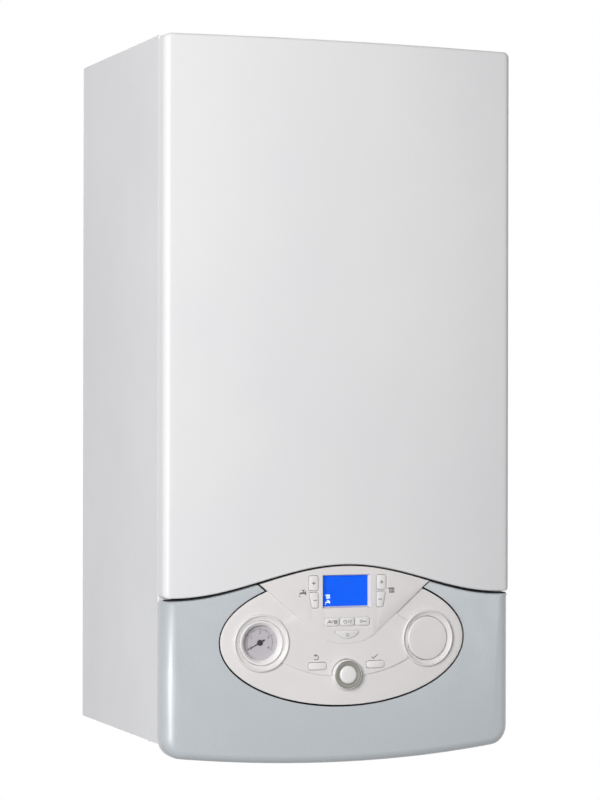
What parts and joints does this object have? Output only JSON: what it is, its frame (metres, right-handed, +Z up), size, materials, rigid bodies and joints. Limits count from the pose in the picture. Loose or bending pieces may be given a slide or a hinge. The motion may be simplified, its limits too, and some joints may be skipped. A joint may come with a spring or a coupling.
{
  "type": "wall-hung combi boiler",
  "caption": "Wall-hung combi boiler with a bowed white casing, a silver fascia and an oval control panel with display, gauge and selector.",
  "frame": {"origin": "middle of the back plate's wall face, at mid width and at mid height of the side panels", "axes": "+X to the viewer's right, +Y into the wall, +Z up; the front faces -Y"},
  "size_m": [0.4006, 0.3208, 0.7819],
  "materials": {
    "white_sheet": "satin white powder coat",
    "silver_plastic": "silver-blue lacquered moulding",
    "warm_white_plastic": "satin warm white",
    "ice_white_plastic": "satin white",
    "grey_ring": "satin grey",
    "clear_window": "clear",
    "circuit_board": "green laminate",
    "dark_plastic": "satin dark grey",
    "grey_plastic": "light grey polypropylene",
    "galvanised_steel": "galvanised",
    "cast_aluminium": "as cast",
    "ceramic_white": "white ceramic",
    "copper_pipe": "drawn copper",
    "brass_body": "machined",
    "red_paint": "gloss red",
    "red_plastic": "satin red",
    "blue_plastic": "satin blue"
  },
  "bodies": {
    "chassis": {"back_plate": "galvanised_steel", "side_panel_left": "white_sheet", "side_panel_right": "white_sheet", "top_plate": "white_sheet", "bottom_plate": "galvanised_steel", "hinge_pin_left": "galvanised_steel", "hinge_pin_right": "galvanised_steel", "flue_collar": "white_sheet", "exhaust_duct": "grey_plastic", "heat_exchanger": "cast_aluminium", "burner_door": "cast_aluminium", "ignition_electrode": "ceramic_white", "fan_housing": "cast_aluminium", "fan_motor": "dark_plastic", "gas_mixer": "cast_aluminium", "gas_valve": "cast_aluminium", "gas_pipe": "copper_pipe", "plate_heat_exchanger": "galvanised_steel", "flow_block": "brass_body", "diverter_motor": "dark_plastic", "flow_pipe": "copper_pipe", "pump_body": "cast_aluminium", "pump_motor": "dark_plastic", "return_pipe": "copper_pipe", "safety_valve": "brass_body", "expansion_vessel": "red_paint", "condensate_trap": "grey_plastic", "flow_tail": "copper_pipe", "hot_water_tail": "copper_pipe", "gas_tail": "copper_pipe", "cold_water_tail": "copper_pipe", "return_tail": "copper_pipe", "filling_tap": "brass_body"},
    "casing": {"front_casing": "white_sheet"},
    "panel": {"fascia": "silver_plastic", "control_panel": "warm_white_plastic", "display_lens": "clear_window", "display_module": "circuit_board", "gauge_body": "warm_white_plastic", "gauge_glass": "clear_window", "timer_blank": "warm_white_plastic", "control_box": "dark_plastic", "control_box_cover": "dark_plastic", "main_board": "circuit_board"},
    "selector": {"selector_body": "ice_white_plastic", "selector_ring": "grey_ring", "selector_cap": "ice_white_plastic"},
    "needle": {"gauge_needle": "dark_plastic"},
    "relief_cap": {"safety_valve_cap": "red_plastic"},
    "filling_handle": {"filling_tap_handle": "blue_plastic"},
    "hot_water_plus_button": {"hot_water_plus_button": "ice_white_plastic"},
    "hot_water_minus_button": {"hot_water_minus_button": "ice_white_plastic"},
    "heating_plus_button": {"heating_plus_button": "ice_white_plastic"},
    "heating_minus_button": {"heating_minus_button": "ice_white_plastic"},
    "mode_button": {"mode_button": "ice_white_plastic"},
    "program_button": {"program_button": "ice_white_plastic"},
    "reset_button": {"reset_button": "ice_white_plastic"},
    "power_button": {"power_button": "ice_white_plastic"},
    "back_button": {"back_button": "ice_white_plastic"},
    "confirm_button": {"confirm_button": "ice_white_plastic"}
  },
  "joints": [
    {"name": "casing_lift", "type": "slide", "parent": "chassis", "child": "casing", "axis": [0, 0, 1], "range_m": [0, 0.65]},
    {"name": "panel_swing", "type": "hinge", "parent": "chassis", "child": "panel", "pos_m": [0, -0.268, -0.3765], "axis": [1, 0, 0], "range_deg": [0, 90]},
    {"name": "selector_turn", "type": "hinge", "parent": "panel", "child": "selector", "pos_m": [0, -0.3122, -0.303], "axis": [0, 1, 0], "continuous": true},
    {"name": "needle_turn", "type": "hinge", "parent": "panel", "child": "needle", "pos_m": [-0.0955, -0.3091, -0.2672], "axis": [0.0648, 0.9979, 0], "range_deg": [0, 240], "stiffness_Nm_per_rad": 0.0001, "springref_deg": -17.19},
    {"name": "relief_cap_turn", "type": "hinge", "parent": "chassis", "child": "relief_cap", "pos_m": [0.094, -0.16, -0.2945], "axis": [0, 1, 0], "range_deg": [0, 90]},
    {"name": "filling_tap_turn", "type": "hinge", "parent": "chassis", "child": "filling_handle", "pos_m": [0.099, -0.089, -0.3828], "axis": [0, 1, 0], "range_deg": [0, 90]},
    {"name": "hot_water_plus_press", "type": "slide", "parent": "panel", "child": "hot_water_plus_button", "axis": [0.0259, 0.9997, 0], "range_m": [0, 0.0012], "stiffness_N_per_m": 300},
    {"name": "hot_water_minus_press", "type": "slide", "parent": "panel", "child": "hot_water_minus_button", "axis": [0.0259, 0.9997, 0], "range_m": [0, 0.0012], "stiffness_N_per_m": 300},
    {"name": "heating_plus_press", "type": "slide", "parent": "panel", "child": "heating_plus_button", "axis": [-0.0271, 0.9996, 0], "range_m": [0, 0.0012], "stiffness_N_per_m": 300},
    {"name": "heating_minus_press", "type": "slide", "parent": "panel", "child": "heating_minus_button", "axis": [-0.0269, 0.9996, 0], "range_m": [0, 0.0012], "stiffness_N_per_m": 300},
    {"name": "mode_press", "type": "slide", "parent": "panel", "child": "mode_button", "axis": [0.0117, 0.9999, 0], "range_m": [0, 0.0012], "stiffness_N_per_m": 300},
    {"name": "program_press", "type": "slide", "parent": "panel", "child": "program_button", "axis": [-0.0001, 1, 0], "range_m": [0, 0.0012], "stiffness_N_per_m": 300},
    {"name": "reset_press", "type": "slide", "parent": "panel", "child": "reset_button", "axis": [-0.0119, 0.9999, 0], "range_m": [0, 0.0012], "stiffness_N_per_m": 300},
    {"name": "power_press", "type": "slide", "parent": "panel", "child": "power_button", "axis": [-0.0002, 1, 0], "range_m": [0, 0.0012], "stiffness_N_per_m": 300},
    {"name": "back_press", "type": "slide", "parent": "panel", "child": "back_button", "axis": [0.0227, 0.9997, 0], "range_m": [0, 0.0012], "stiffness_N_per_m": 300},
    {"name": "confirm_press", "type": "slide", "parent": "panel", "child": "confirm_button", "axis": [-0.0226, 0.9997, 0], "range_m": [0, 0.0012], "stiffness_N_per_m": 300}
  ]
}
